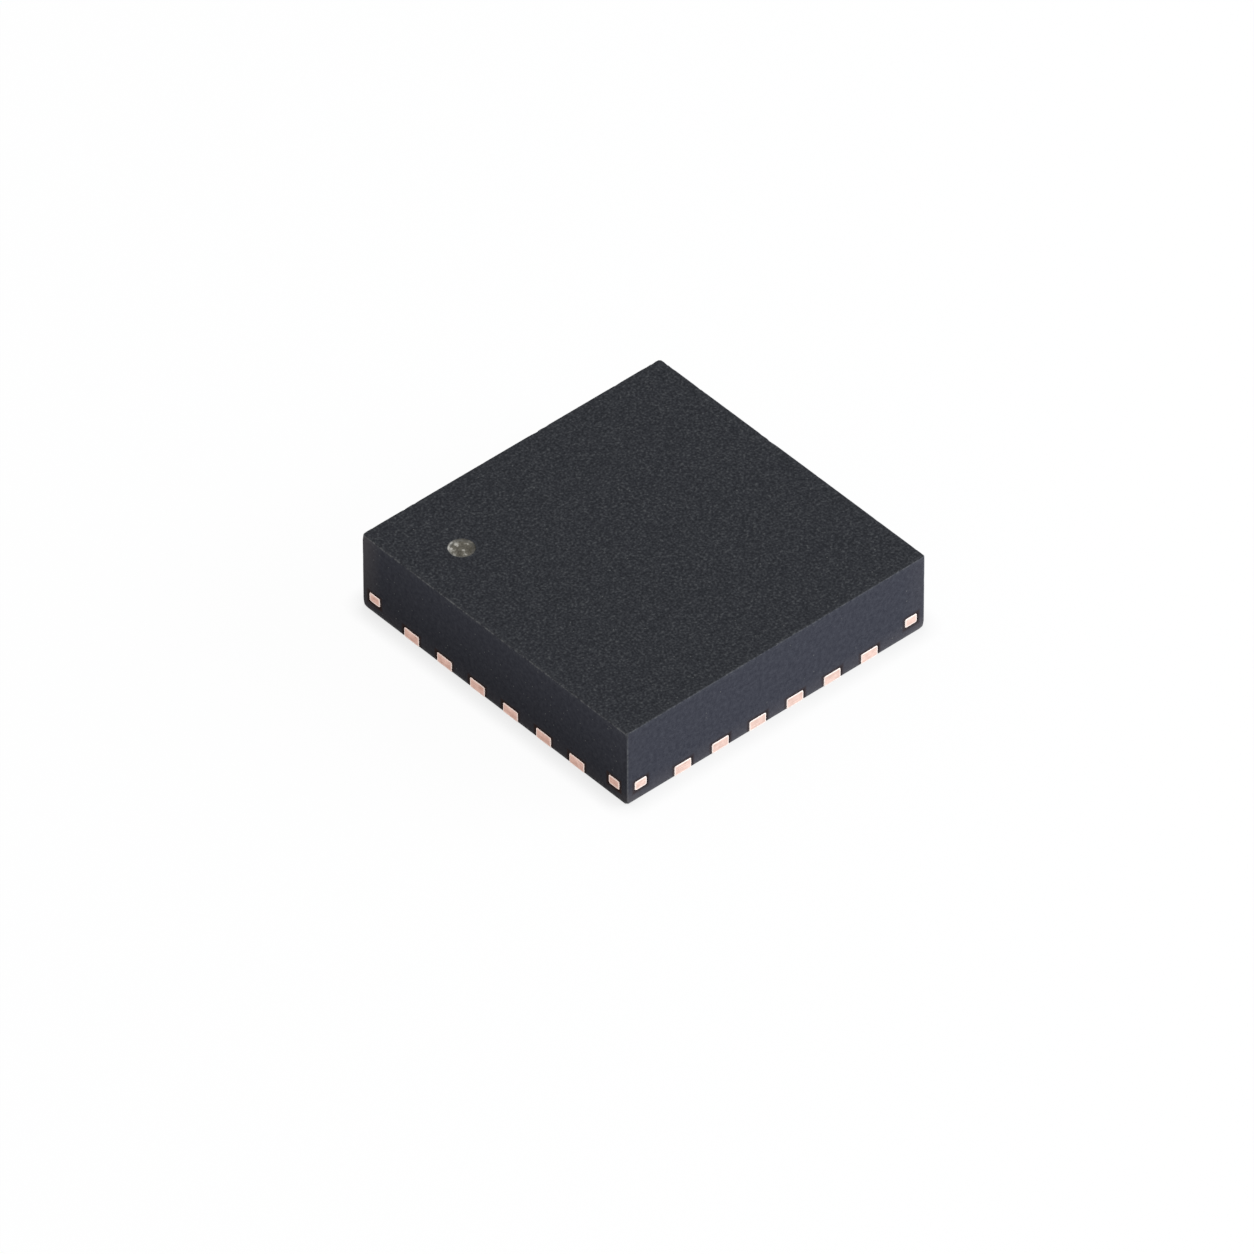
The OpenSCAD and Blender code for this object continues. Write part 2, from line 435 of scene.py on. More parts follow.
to_end = np.minimum(block_high - high, high - block_low)
rooms = np.sort(np.column_stack([half_side - np.abs(flat[:, :2]), to_end]), axis=1)
edge_room = rooms[:, 1]
upper = high > sheet_high
run = flat.sum(1) + RUN_TILT * np.abs(flat[:, 0] - flat[:, 1])
nick = slow_noise(run, FINE_NICKS, 5) + BROAD_SHARE * slow_noise(run, BROAD_NICKS, 6)
nick = np.clip(nick - NICK_FROM, 0, 1) * fade(edge_room, 2 * TOP_EDGE_R) * upper
x_side, y_side = (flat[:, :2] > 0).astype(int).T
more = np.where(upper, TOP_CORNERS[x_side, y_side], LOW_CORNERS[x_side, y_side])
blunt = more * BLUNT_DEPTH * fade(rooms.sum(1), more * BLUNT_REACH)
wear = np.maximum(NICK_DEPTH * nick, blunt)
middle = np.array([0, 0, (block_low + block_high) / 2])
inwards = np.sign(middle - skin) * (np.abs(skin - middle) > CORE)
inwards /= np.maximum(np.linalg.norm(inwards, axis=1), 1)[:, None]
skin += inwards * wear[:, None]
print("wear: deepest", round(wear.max(), 4))


# %% [markdown]
# ### Marks of the saw, with painted light and shade
# The strip is sawn in two passes. On the sides of the first, which face along X, the edges carry a
# full pale line, partly wear and partly a painted highlight, and a painted shade darkens the tone
# towards the bottom. The second pass leaves weaker lines, and a pale streak beside the upright
# corners, again wear with a painted highlight. Both darken the groove round the copper. Low down
# the sides are paler, and beside the corners a painted light brightens them. Such marks could be
# painted by hand. Here they are numbers on the points, worked out from the distances to the edges,
# because then they follow the shape exactly.

# %% Lines and outlines
SECOND_LINE = 0.4
SECOND_OUTLINE = 0.7
OUTLINE_CORE = 1.5
UPRIGHT_SHARE = 0.65
TIP_REACH = 0.03
TIP_CORE = 1.5

first_cut = facing == 0
sawn = fade(wall_room, TOP_EDGE_R / 2)
level_room = np.maximum(wall_room, to_end)
# The pale lines along the edges are partly wear and partly a painted highlight.
level_line = fade(level_room, LINE_WIDTH) * np.where(first_cut, 1, SECOND_LINE)
corner_room = half_side - np.abs(flat[:, :2]).min(1)
# Beside the upright corners a pale streak, and at the top corners a pale tip: wear and a painted
# highlight.
upright = fade(np.abs(corner_room - UPRIGHT_LINE), LINE_WIDTH) * sawn * ~first_cut
tip = np.clip(TIP_CORE - rooms.sum(1) / TIP_REACH, 0, 1) * upper
upright = UPRIGHT_SHARE * np.maximum(upright, tip)
outline = np.clip(OUTLINE_CORE * (1 - (from_end - SEAM) / (OUTLINE - SEAM)), 0, 1)
outline *= np.where(first_cut, 1, SECOND_OUTLINE) * (wall_room < TOP_EDGE_R)
print("outline:", int((outline > 0).sum()), "points, lines:", int((level_line > 0).sum()))

# %% Tones of the sides, with painted shade and painted light
LOW_SHADE_HEIGHT = 0.7
BAND_WIDTH = 0.09
LOW_PALE_HIGH = 0.27
LOW_PALE_CURVE = 1.6
CORNER_REACH = 0.3
LOW_PALE_BY_CORNER = np.array([[0.9, 0.0], [0.9, 0.4]])
CORNER_LIGHT_SHARES = np.array([[0.1, 1.6], [0.6, 0.8]])
SECOND_CUT_CORNER_LIGHT = 0.5

# Painted shade: on the sides that face along X the tone darkens towards the bottom.
painted_low_shade = sawn * np.clip((block_high - high) / LOW_SHADE_HEIGHT, 0, 1) * first_cut
edge_band = (1 - sawn) * fade(edge_room, BAND_WIDTH)
by_corner = fade(corner_room, CORNER_REACH)
# Low down the sides are paler, more so beside some corners.
low_pale = np.clip((LOW_PALE_HIGH - high) / (LOW_PALE_HIGH - block_low), 0, 1) ** LOW_PALE_CURVE
low_pale *= 1 + LOW_PALE_BY_CORNER[x_side, y_side] * by_corner
# Painted light: beside the corners the sides are brighter, less so on the second cut.
painted_corner_light = CORNER_LIGHT_SHARES[x_side, y_side] * by_corner * np.where(first_cut, 1, SECOND_CUT_CORNER_LIGHT)
pale_low_and_corner_light = sawn * np.maximum(low_pale, painted_corner_light)
print("chalk: up to", round(pale_low_and_corner_light.max(), 2))

# %% Make the block
DOT_SOFT = 0.006
RIM_INSET = 0.014
RIM_WIDTH = 0.018

in_dot = np.clip((dot_radius + DOT_SOFT / 2 - ring) / DOT_SOFT, 0, 1)
dot_rim = fade(np.abs(ring - dot_radius + RIM_INSET), RIM_WIDTH)
marks = {
    "sawn": sawn,
    "painted_low_shade": painted_low_shade,
    "pale_low_and_corner_light": pale_low_and_corner_light,
    "edge_line": level_line,
    "upright": upright,
    "edge_band": edge_band,
    "outline": outline,
    "dot": near_dot * in_dot,
    "dot_rim": near_dot * dot_rim,
}
mould_block = make_piece("mould_block", skin, [block_faces])
for name, values in marks.items():
    paint_values(mould_block, name, values)
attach(mould_block, "root")
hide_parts("mould_body")
print("mould_block:", len(mould_block.data.polygons), "faces")


# %% [markdown]
# ## Leads and paddle
# The lead frame is etched from copper sheet, and the saw cuts its outer ends. Its shape in the
# solids is already the true one, so each piece is a copy of its solid with what the saw and the
# plating add: softened edges round the sawn end and the solder land, and a bright rim round the
# cut, partly a burr that the blade drags along it and partly a painted highlight, wider on the
# ends of the tie bars. The copy is merged and bevelled while it is in millimetres, because
# Blender's own limits are far too coarse for a part this small.

# %% Soft copies of the etched copper
COPPER_SOFT = 0.007
SOFT_STEPS = 3
LEAD_RIM = 0.011
TIE_RIM = 0.016
RIM_CORE = 0.75
SHARP = math.radians(40)
FLAT = math.radians(1)


def at_wall(vert):
    """True for a point in the plane of one of the block's sides."""
    return max(abs(vert.co.x), abs(vert.co.y)) > half_side - NEAR


def outer_edge(edge):
    """True for a sharp edge round a sawn end or a solder land, the only ones that can be seen."""
    seen = all(at_wall(v) for v in edge.verts) or all(v.co.z < NEAR for v in edge.verts)
    return seen and len(edge.link_faces) == 2 and edge.calc_face_angle() > SHARP


def burr_and_highlight_values(points, burr_and_highlight):
    """One on the rim of a sawn end, zero inside it and on the rest. The rim lies in the plane of a
    side, and nearer to the outline of the end than the inset does."""
    numbers = np.arange(len(points))
    side = np.abs(points[:, :2]).argmax(1)
    room = half_side - np.abs(points[numbers, side])
    inset = -past_ends(points[numbers, 1 - side], points[:, 2])
    return (room < 2 * COPPER_SOFT) & (inset < COPPER_SOFT + RIM_CORE * burr_and_highlight)


def soft_copy(node, name, burr_and_highlight):
    """A copy of a solid: merged, its flat faces joined up, its outer edges rounded, and each sawn end
    inset by the width of the bright rim; a burr and a painted highlight go on the rim that is left."""
    work = bmesh.new()
    work.from_mesh(nodes[node].data)
    bmesh.ops.scale(work, vec=Vector((1 / MM,) * 3), verts=work.verts)
    bmesh.ops.remove_doubles(work, verts=work.verts, dist=NEAR)
    bmesh.ops.dissolve_limit(work, angle_limit=FLAT, verts=work.verts, edges=work.edges)
    rounded = bmesh.ops.bevel(
        work, geom=[e for e in work.edges if outer_edge(e)], offset=COPPER_SOFT,
        offset_type="OFFSET", segments=SOFT_STEPS, profile=0.5, affect="EDGES", clamp_overlap=True,
    )
    for face in rounded["faces"]:
        face.smooth = True
    ends = [f for f in work.faces if all(at_wall(v) for v in f.verts)]
    bmesh.ops.inset_individual(work, faces=ends, thickness=burr_and_highlight, use_even_offset=True)
    bmesh.ops.scale(work, vec=Vector((MM,) * 3), verts=work.verts)
    mesh = bpy.data.meshes.new(name)
    work.to_mesh(mesh)
    work.free()
    piece = add_object(name, mesh)
    paint_values(piece, "burr_and_highlight", burr_and_highlight_values(mesh_points(mesh), burr_and_highlight))
    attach(piece, "root")
    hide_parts(node)
    return piece


copper_pieces = [soft_copy(name, "copper_" + name, LEAD_RIM) for name in lead_nodes]
copper_pieces.append(soft_copy("die_paddle", "copper_paddle", TIE_RIM))
copper_faces = sum(len(piece.data.polygons) for piece in copper_pieces)
print("copper:", len(copper_pieces), "pieces,", copper_faces, "faces")


# %% [markdown]
# ## Bond wires
# A bonder melts a ball on the die, draws the wire up and over in one loop and presses its end
# flat on the lead. The solids have coarse six-sided wires, so these are drawn again as round
# ones: a circle carried along the same cubic curve, with a width and a thickness that change
# at both ends. The places of the two ends, the top of the loop and the radii are read from
# each solid.

# %% Where each wire starts and stops
HEX_SHARE = math.cos(math.pi / 6)

die_high = solid_points("silicon_die")[:, 2].max()


def wire_ends(node):
    """Start and stop in plan, the run at which the end begins to flatten, the top of the loop, and the
    radii of ball, wire and end. The solid's section is a hexagon that stands on a flat side, so a
    radius is the width of that side times the cosine of 30 degrees."""
    points = np.unique(np.round(solid_points(node), 4), axis=0)
    ball = on_level(points, 2, die_high)[:, :2]
    start = ball.mean(0)
    foot = on_level(points, 2, sheet_high)[:, :2]
    foot = foot[np.linalg.norm(foot - start, axis=1).argsort()]
    stop = foot[2:].mean(0)
    sizes = {
        "span": np.linalg.norm(stop - start),
        "flat_from": np.linalg.norm(foot[:2].mean(0) - start),
        "top": points[:, 2].max(),
        "ball_r": np.linalg.norm(ball - start, axis=1).max() * HEX_SHARE,
        "wire_r": np.linalg.norm(foot[1] - foot[0]) * HEX_SHARE,
        "end_r": np.linalg.norm(foot[3] - foot[2]) * HEX_SHARE,
    }
    return start, stop, sizes


first_sizes = wire_ends(wire_nodes[0])[2]
print("wire 1:", {key: round(float(size), 4) for key, size in first_sizes.items()})


# %% [markdown]
# Blender can thicken a curve into a tube, but its section would stay a circle. Here every ring
# of points gets its own width and thickness, so one tube holds the pressed ball, the loop and
# the flattened end.

# %% Course of the loop
LOOP_RINGS = 36
NECK_HIGH = 0.03
LEAN = 0.45
TRIAL_RISES = np.linspace(0, 0.5, 251)


def loop_height(t, rise, drop):
    """Height along the loop: the neck, plus three times the rise times t(1 - t), less the drop times
    t cubed."""
    return die_high + NECK_HIGH + 3 * rise * t * (1 - t) - drop * t ** 3


def loop_course(sizes):
    """Run, height and slope along the loop, a cubic that leaves the ball upright and lands on the lead.
    Its rise is the one that gives the wire's own top."""
    t = np.linspace(0, 1, LOOP_RINGS)
    drop = die_high + NECK_HIGH - sheet_high - sizes["wire_r"]
    tops = loop_height(t, TRIAL_RISES[:, None], drop).max(1)
    rise = np.interp(sizes["top"] - sizes["wire_r"], tops, TRIAL_RISES)
    height = loop_height(t, rise, drop)
    lean = LEAN * sizes["flat_from"]
    run = 3 * t ** 2 * (1 - t) * lean + t ** 3 * sizes["flat_from"]
    slope = np.arctan2(np.gradient(height), np.gradient(run))
    slope[0] = math.pi / 2
    return run, height, slope


print("loop of wire 1 rises to", round(loop_course(first_sizes)[1].max(), 3))

# %% Carry a circle along each loop
WIRE_SIDES = 14
END_RINGS = 6
END_THICK = 0.004
BALL_HIGH = np.array([0.0, 0.003, 0.012, 0.02, 0.025])
BALL_SWELL = np.array([0.86, 1.0, 1.0, 0.8, 0.5])


def wire_rings(sizes):
    """One row for each ring from die to lead: run, height, slope, half width and half thickness. A
    pressed ball comes first, then the loop, then the end, which widens and thins."""
    still = np.zeros(len(BALL_HIGH))
    swell = BALL_SWELL * sizes["ball_r"]
    press = np.linspace(0, 1, END_RINGS + 1)[1:]
    thin = sizes["wire_r"] + (END_THICK - sizes["wire_r"]) * press
    widen = sizes["wire_r"] + (sizes["end_r"] - sizes["wire_r"]) * np.sqrt(press)
    run, height, slope = loop_course(sizes)
    plain = np.full(LOOP_RINGS, sizes["wire_r"])
    start = np.column_stack([still, die_high + BALL_HIGH, still + math.pi / 2, swell, swell])
    loop = np.column_stack([run, height, slope, plain, plain])
    on_lead = sizes["flat_from"] + (sizes["span"] - sizes["flat_from"]) * press
    end = np.column_stack([on_lead, sheet_high + thin, 0 * press, widen, thin])
    return np.concatenate([start, loop, end])


def round_wire(node, name):
    """A wire as a tube: each ring is an ellipse across the run there, and a fan closes each end."""
    start, stop, sizes = wire_ends(node)
    run, height, slope, wide, thick = wire_rings(sizes).T[..., None]
    turn = np.linspace(0, 2 * math.pi, WIRE_SIDES, endpoint=False)
    across = wide * np.cos(turn)
    upward = thick * np.sin(turn)
    ahead = (stop - start) / sizes["span"]
    forth = run - upward * np.sin(slope)
    rings = np.stack([
        start[0] + forth * ahead[0] - across * ahead[1],
        start[1] + forth * ahead[1] + across * ahead[0],
        height + upward * np.cos(slope),
    ], -1)
    table = np.arange(rings[..., 0].size).reshape(rings.shape[:2])
    table = np.column_stack([table, table[:, 0]])
    first, last = table[0], table[-1]
    hubs = table.max() + np.ones((WIRE_SIDES, 1), int)
    groups = [
        grid_faces(table)[:, ::-1],
        np.column_stack([first[1:], first[:-1], hubs]),
        np.column_stack([last[:-1], last[1:], hubs + 1]),
    ]
    points = np.concatenate([rings.reshape(-1, 3), rings[[0, -1]].mean(1)])
    piece = make_piece(name, points, groups)
    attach(piece, "root")
    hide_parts(node)
    return piece


gold_wires = [round_wire(name, "gold_" + name[5:]) for name in wire_nodes]
print("wires:", len(gold_wires), "of", len(gold_wires[0].data.polygons), "faces each")


# %% [markdown]
# ## Finishes
# All patterns read object coordinates, scaled to millimetres, so that a noise scale of 40 means
# grains of a fortieth of a millimetre. A few helpers keep the node trees short.

# %% Nodes and links
def new_finish(name):
    """An empty finish: its tree, its shader, and its coordinates in millimetres."""
    finish = bpy.data.materials.new(name)
    finish.use_nodes = True
    tree = finish.node_tree
    place = tree.nodes.new("ShaderNodeTexCoord").outputs["Object"]
    where = stretch(tree, place, (1 / MM,) * 3)
    return finish, tree, tree.nodes["Principled BSDF"], where


def put(tree, socket, value):
    """Sets an input to a number or a colour, or links another node's output to it."""
    if isinstance(value, bpy.types.NodeSocket):
        tree.links.new(value, socket)
    elif isinstance(value, tuple) and socket.type == "RGBA":
        socket.default_value = (*value, 1)
    else:
        socket.default_value = value


def add_node(tree, kind, inputs, **settings):
    """A node with its settings, and with its inputs set or linked."""
    node = tree.nodes.new(kind)
    for name, value in settings.items():
        setattr(node, name, value)
    for name, value in inputs.items():
        put(tree, node.inputs[name], value)
    return node


def stretch(tree, where, factors, shift=(0, 0, 0)):
    """Coordinates scaled along each axis, and then shifted."""
    settings = {"Vector": where, "Scale": factors, "Location": shift}
    return add_node(tree, "ShaderNodeMapping", settings).outputs["Vector"]


print("node helpers ready")


# %% Patterns and colours
def noise(tree, where, scale, detail=2.0, roughness=0.5):
    """Cloudy noise about one half."""
    settings = {"Vector": where, "Scale": scale, "Detail": detail, "Roughness": roughness}
    return add_node(tree, "ShaderNodeTexNoise", settings).outputs["Fac"]


def ramp(tree, value, stops):
    """Colour from a value, by stops of a place and a colour."""
    node = add_node(tree, "ShaderNodeValToRGB", {"Fac": value})
    band = node.color_ramp.elements
    while len(band) < len(stops):
        band.new(0.5)
    for element, (place, colour) in zip(band, stops):
        element.position = place
        element.color = (*colour, 1)
    return node.outputs["Color"]


def spread(tree, value, low, high, to_low=0.0, to_high=1.0):
    """A value carried from one range to another, and held inside it."""
    settings = {"Value": value, "From Min": low, "From Max": high, "To Min": to_low, "To Max": to_high}
    return add_node(tree, "ShaderNodeMapRange", settings).outputs["Result"]


def calc(tree, operation, a, b):
    """One step of arithmetic on two values."""
    return add_node(tree, "ShaderNodeMath", {0: a, 1: b}, operation=operation).outputs["Value"]


def both_of(tree, a, b, share):
    """Two patterns in one: the first times one less the share, plus the second times the share."""
    rest = calc(tree, "MULTIPLY", a, 1 - share)
    return calc(tree, "ADD", rest, calc(tree, "MULTIPLY", b, share))


def mix(tree, share, a, b):
    """Colour a, with a share of colour b laid over it."""
    return add_node(tree, "ShaderNodeMix", {0: share, 6: a, 7: b}, data_type="RGBA").outputs[2]


def painted(tree, name):
    """A number that was stored on the points."""
    return add_node(tree, "ShaderNodeAttribute", {}, attribute_name=name).outputs["Fac"]


def lay_over(tree, colour, name, strength, over):
    """A colour with another laid over it, by a stored number times a strength or a pattern."""
    return mix(tree, calc(tree, "MULTIPLY", painted(tree, name), strength), colour, over)


def emboss(tree, shader, height, depth):
    """Tilts the surface by a height pattern of a depth in millimetres."""
    node = add_node(tree, "ShaderNodeBump", {"Height": height, "Strength": 1.0, "Distance": depth * MM})
    tree.links.new(node.outputs["Normal"], shader.inputs["Normal"])


print("pattern helpers ready")


# %% [markdown]
# ### Moulding compound
# The compound is black epoxy, full of fine glass. The top keeps the matte grain of the mould. The
# sides are cut through by the saw, so they look smoother and bluer. Edges carry a thin, broken
# pale line, partly where the blade bruised them and partly a painted highlight, and the dot is
# burnt to a warm, crusty grey with a few painted glints. On the sides, a painted shade darkens the
# first cut towards the bottom, and a painted light brightens them beside the corners. Noise and
# ramps make all of it, and the numbers stored on the points say where each look belongs.

# %% Looks of the compound
BROAD_PATCHES = 0.15
SPECK_CORE = 0.5
SPECK_STEP = 0.02
FLECK = (0.072, 0.075, 0.080)
FLECK_SHARE = 0.4
CRUST_AND_GLINT_SHIFT = (0.13, -0.22, 0)
RIM_GREY = (0.160, 0.157, 0.145)


def speck_mask(tree, where, scale, rare, size):
    """Small round specks: one in some of the cells of a cell pattern, near the cell's own point."""
    cells = add_node(tree, "ShaderNodeTexVoronoi", {"Vector": where, "Scale": scale}).outputs
    chosen = add_node(tree, "ShaderNodeSeparateColor", {"Color": cells["Color"]}).outputs["Red"]
    near = spread(tree, cells["Distance"], size, size * SPECK_CORE)
    return calc(tree, "MULTIPLY", spread(tree, chosen, rare, rare + SPECK_STEP), near)


def grain_colour(tree, where):
    """Top face: fine grain and broader patches drive one ramp from soot to slate, under pale flecks.
    The grain is handed back with the colour."""
    grain = both_of(tree, noise(tree, where, 36, 1, 0.5), noise(tree, where, 12, 3), BROAD_PATCHES)
    colour = ramp(tree, grain, [
        (0.30, (0.0175, 0.0187, 0.0223)),
        (0.50, (0.0276, 0.0292, 0.0342)),
        (0.62, (0.0398, 0.0418, 0.0468)),
        (0.74, (0.0740, 0.0765, 0.0800)),
    ])
    flecks = calc(tree, "MULTIPLY", speck_mask(tree, where, 28, 0.60, 0.45), FLECK_SHARE)
    return mix(tree, flecks, colour, FLECK), grain


def cut_colour(tree, where):
    """Sawn sides: a quiet blue slate with faint smudges."""
    return ramp(tree, noise(tree, where, 20, 4, 0.7), [
        (0.30, (0.0265, 0.0278, 0.0380)),
        (0.50, (0.0390, 0.0405, 0.0525)),
        (0.70, (0.0530, 0.0550, 0.0685)),
    ])


def burnt_colour(tree, where):
    """Floor of the dot: warm grey crust with a few bright painted glints, and a pale, patchy rim."""
    shifted = stretch(tree, where, (1, 1, 1), CRUST_AND_GLINT_SHIFT)
    # The top stop of the ramp paints the glints: painted highlights on the crust.
    crust_and_glints = ramp(tree, noise(tree, shifted, 13, 2, 0.55), [
        (0.36, (0.088, 0.080, 0.063)),
        (0.54, (0.152, 0.140, 0.113)),
        (0.65, (0.520, 0.500, 0.445)),
    ])
    patchy = spread(tree, noise(tree, where, 14), 0.35, 0.6, 0.5, 0.95)
    return lay_over(tree, crust_and_glints, "dot_rim", patchy, RIM_GREY)


print("looks of the compound ready")

# %% Compound
PALE_SHARE = 0.42
PALE_GREY = (0.108, 0.098, 0.102)
LOW_SHADE_SHARE = 0.36
BLACK = (0, 0, 0)
GLASS = (0.12, 0.122, 0.120)
BAND_SHARE = 0.12
BAND_GREY = (0.060, 0.062, 0.066)
PALE_WEAR_AND_HIGHLIGHT = (0.195, 0.198, 0.200)
OUTLINE_SHARE = 0.95
SEAM_BROWN = (0.024, 0.011, 0.009)
DOT_SHEEN = 0.25
BLADE_RUN = (1.5, 1.5, 60)
BLADE_SHARE = 0.3
GRAIN_DEPTH = 0.006


def edge_marks(tree, where, colour):
    """A colour with the marks near the edges laid over it: the band on top, the broken pale lines of
    wear and a painted highlight, whose strength is a crumbly noise, and the dark outline round the
    copper."""
    crumbs = noise(tree, where, 26, 3, 0.7)
    wear_and_highlight = spread(tree, crumbs, 0.40, 0.66)
    streak = spread(tree, crumbs, 0.35, 0.65, 0.25, 1.0)
    colour = lay_over(tree, colour, "edge_band", BAND_SHARE, BAND_GREY)
    # Pale lines and streaks: wear and a painted highlight.
    colour = lay_over(tree, colour, "edge_line", wear_and_highlight, PALE_WEAR_AND_HIGHLIGHT)
    colour = lay_over(tree, colour, "upright", streak, PALE_WEAR_AND_HIGHLIGHT)
    return lay_over(tree, colour, "outline", OUTLINE_SHARE, SEAM_BROWN)


def compound_finish():
    """Grain on top, slate on the sides with painted shade and light, specks of glass, marks near the
    edges with painted highlights, and the burnt dot with painted glints.
    """
    finish, tree, shader, where = new_finish("moulding_compound")
    sawn = painted(tree, "sawn")
    dot = painted(tree, "dot")
    top, grain = grain_colour(tree, where)
    # On the sides: paler low down, and a painted light beside the corners.
    side = lay_over(tree, cut_colour(tree, where), "pale_low_and_corner_light", PALE_SHARE, PALE_GREY)
    # Painted shade towards the bottom of the sides that face along X.
    side = lay_over(tree, side, "painted_low_shade", LOW_SHADE_SHARE, BLACK)
    colour = mix(tree, sawn, top, side)
    colour = mix(tree, speck_mask(tree, where, 16.0, 0.90, 0.14), colour, GLASS)
    colour = edge_marks(tree, where, colour)
    colour = mix(tree, dot, colour, burnt_colour(tree, where))
    put(tree, shader.inputs["Base Color"], colour)
    rough = spread(tree, grain, 0.3, 0.7, 0.95, 0.78)
    rough = calc(tree, "SUBTRACT", rough, calc(tree, "MULTIPLY", dot, DOT_SHEEN))
    put(tree, shader.inputs["Roughness"], rough)
    put(tree, shader.inputs["Specular IOR Level"], 0.10)
    blade = noise(tree, stretch(tree, where, BLADE_RUN), 1.0, 3)
    blade = calc(tree, "MULTIPLY", blade, BLADE_SHARE)
    relief = add_node(tree, "ShaderNodeMix", {0: sawn, 2: grain, 3: blade}).outputs[0]
    emboss(tree, shader, relief, GRAIN_DEPTH)
    return finish


mould_block.data.materials.append(compound_finish())
print("finish:", mould_block.data.materials[0].name)


# %% [markdown]
# ### Sawn and plated copper
# Copper cut by a diamond blade is pale, pink and only half bright, with fine lines along the cut
# and a brighter rim round it, partly a burr and partly a painted highlight. On the ends that face
# along Y, the side of the second cut, a painted cool light makes the copper a little cooler.
# Underneath, the lands and the pad are tinned for soldering and look nearly white. Height alone
# tells copper and tin apart: the tin is only at the seating plane.

# %% Copper
MOTTLE_SHARE = 0.6
PALE_BURR_AND_HIGHLIGHT = (0.92, 0.815, 0.765)
COOL_LIGHT_SHARE = 0.17
COOL_LIGHT_TINT = (0.617, 0.730, 0.717)
TURN_WIDTH = 0.1
TIN_HIGH = 0.006
TIN_RUN = (2, 5, 5)
BLADE_LINES = (3, 3, 80)
COPPER_DEPTH = 0.002


def painted_cool_light(tree, axes):
    """A share of painted cool light on the ends that face along Y and none on the others, by the square
    of Y less that of X."""
    across = calc(tree, "MULTIPLY", axes["X"], axes["X"])
    along = calc(tree, "MULTIPLY", axes["Y"], axes["Y"])
    apart = calc(tree, "SUBTRACT", along, across)
    return spread(tree, apart, -TURN_WIDTH, TURN_WIDTH, 0.0, COOL_LIGHT_SHARE)


def tin_colour(tree, where):
    """Tin plating: fine clouds and drawn-out ones, half each, between two greys."""
    drawn_out = noise(tree, stretch(tree, where, TIN_RUN), 1.0, 4)
    cloudy = both_of(tree, noise(tree, where, 30, 4, 0.6), drawn_out, 0.5)
    return ramp(tree, cloudy, [(0.38, (0.54, 0.55, 0.56)), (0.62, (0.76, 0.765, 0.77))])


def copper_finish():
    """Pink copper with blade lines, a pale rim of burr and painted highlight, painted cool light on the
    ends that face along Y, and tin at the seating plane.
    """
    finish, tree, shader, where = new_finish("sawn_copper")
    axes = add_node(tree, "ShaderNodeSeparateXYZ", {"Vector": where}).outputs
    blade = noise(tree, stretch(tree, where, BLADE_LINES), 1.0, 2)
    mottle = noise(tree, where, 13, 3)
    both = both_of(tree, blade, mottle, MOTTLE_SHARE)
    colour = ramp(tree, both, [
        (0.34, (0.625, 0.414, 0.341)),
        (0.50, (0.751, 0.535, 0.462)),
        (0.66, (0.867, 0.672, 0.598)),
    ])
    # The bright rim round each cut: a burr and a painted highlight.
    colour = mix(tree, painted(tree, "burr_and_highlight"), colour, PALE_BURR_AND_HIGHLIGHT)
    # Painted cool light on the ends that face along Y.
    colour = mix(tree, painted_cool_light(tree, axes), colour, COOL_LIGHT_TINT)
    tinned = spread(tree, axes["Z"], TIN_HIGH, TIN_HIGH / 3)
    put(tree, shader.inputs["Base Color"], mix(tree, tinned, colour, tin_colour(tree, where)))
    put(tree, shader.inputs["Metallic"], 1.0)
    put(tree, shader.inputs["Roughness"], spread(tree, mottle, 0.3, 0.7, 0.80, 0.90))
    emboss(tree, shader, both, COPPER_DEPTH)
    return finish


copper = copper_finish()
for piece in copper_pieces:
    piece.data.materials.append(copper)
print("finish:", copper.name)


# %% [markdown]
# ### What the moulding hides
# The die, its paste and the wires can't be seen in the finished part, but they are pieces of it
# and get true finishes too: polished silicon with a faint plan of circuit blocks, grey
# silver-filled paste, and bright gold.

# %% Silicon, paste and gold
CLOSE_SHARE = 0.45
SPECKLE_DEPTH = 0.001
ROUGH_RANGE = 0.1


def silicon_finish():
    """Dark polished silicon: two brick patterns of different size, a little apart in tone."""
    finish, tree, shader, where = new_finish("polished_silicon")
    wide = add_node(tree, "ShaderNodeTexBrick", {
        "Vector": where, "Scale": 3.0, "Mortar Size": 0.012, "Color1": (0.085, 0.100, 0.125),
        "Color2": (0.125, 0.130, 0.150), "Mortar": (0.20, 0.19, 0.16),
    })
    close = add_node(tree, "ShaderNodeTexBrick", {
        "Vector": where, "Scale": 17.0, "Mortar Size": 0.03, "Color1": (0.075, 0.095, 0.115),
        "Color2": (0.115, 0.120, 0.150), "Mortar": (0.16, 0.155, 0.14),
    })
    plan = mix(tree, CLOSE_SHARE, wide.outputs["Color"], close.outputs["Color"])
    put(tree, shader.inputs["Base Color"], plan)
    put(tree, shader.inputs["Metallic"], 0.35)
    put(tree, shader.inputs["Roughness"], spread(tree, noise(tree, where, 6), 0.3, 0.7, 0.16, 0.26))
    return finish


def speckled_finish(name, scale, dark, pale, metallic, rough):
    """One noise drives colour between two tones, and roughness with it."""
    finish, tree, shader, where = new_finish(name)
    grain = noise(tree, where, scale, 3, 0.6)
    put(tree, shader.inputs["Base Color"], ramp(tree, grain, [(0.35, dark), (0.65, pale)]))
    put(tree, shader.inputs["Metallic"], metallic)
    rougher = spread(tree, grain, 0.3, 0.7, rough, rough + ROUGH_RANGE)
    put(tree, shader.inputs["Roughness"], rougher)
    emboss(tree, shader, grain, SPECKLE_DEPTH)
    return finish


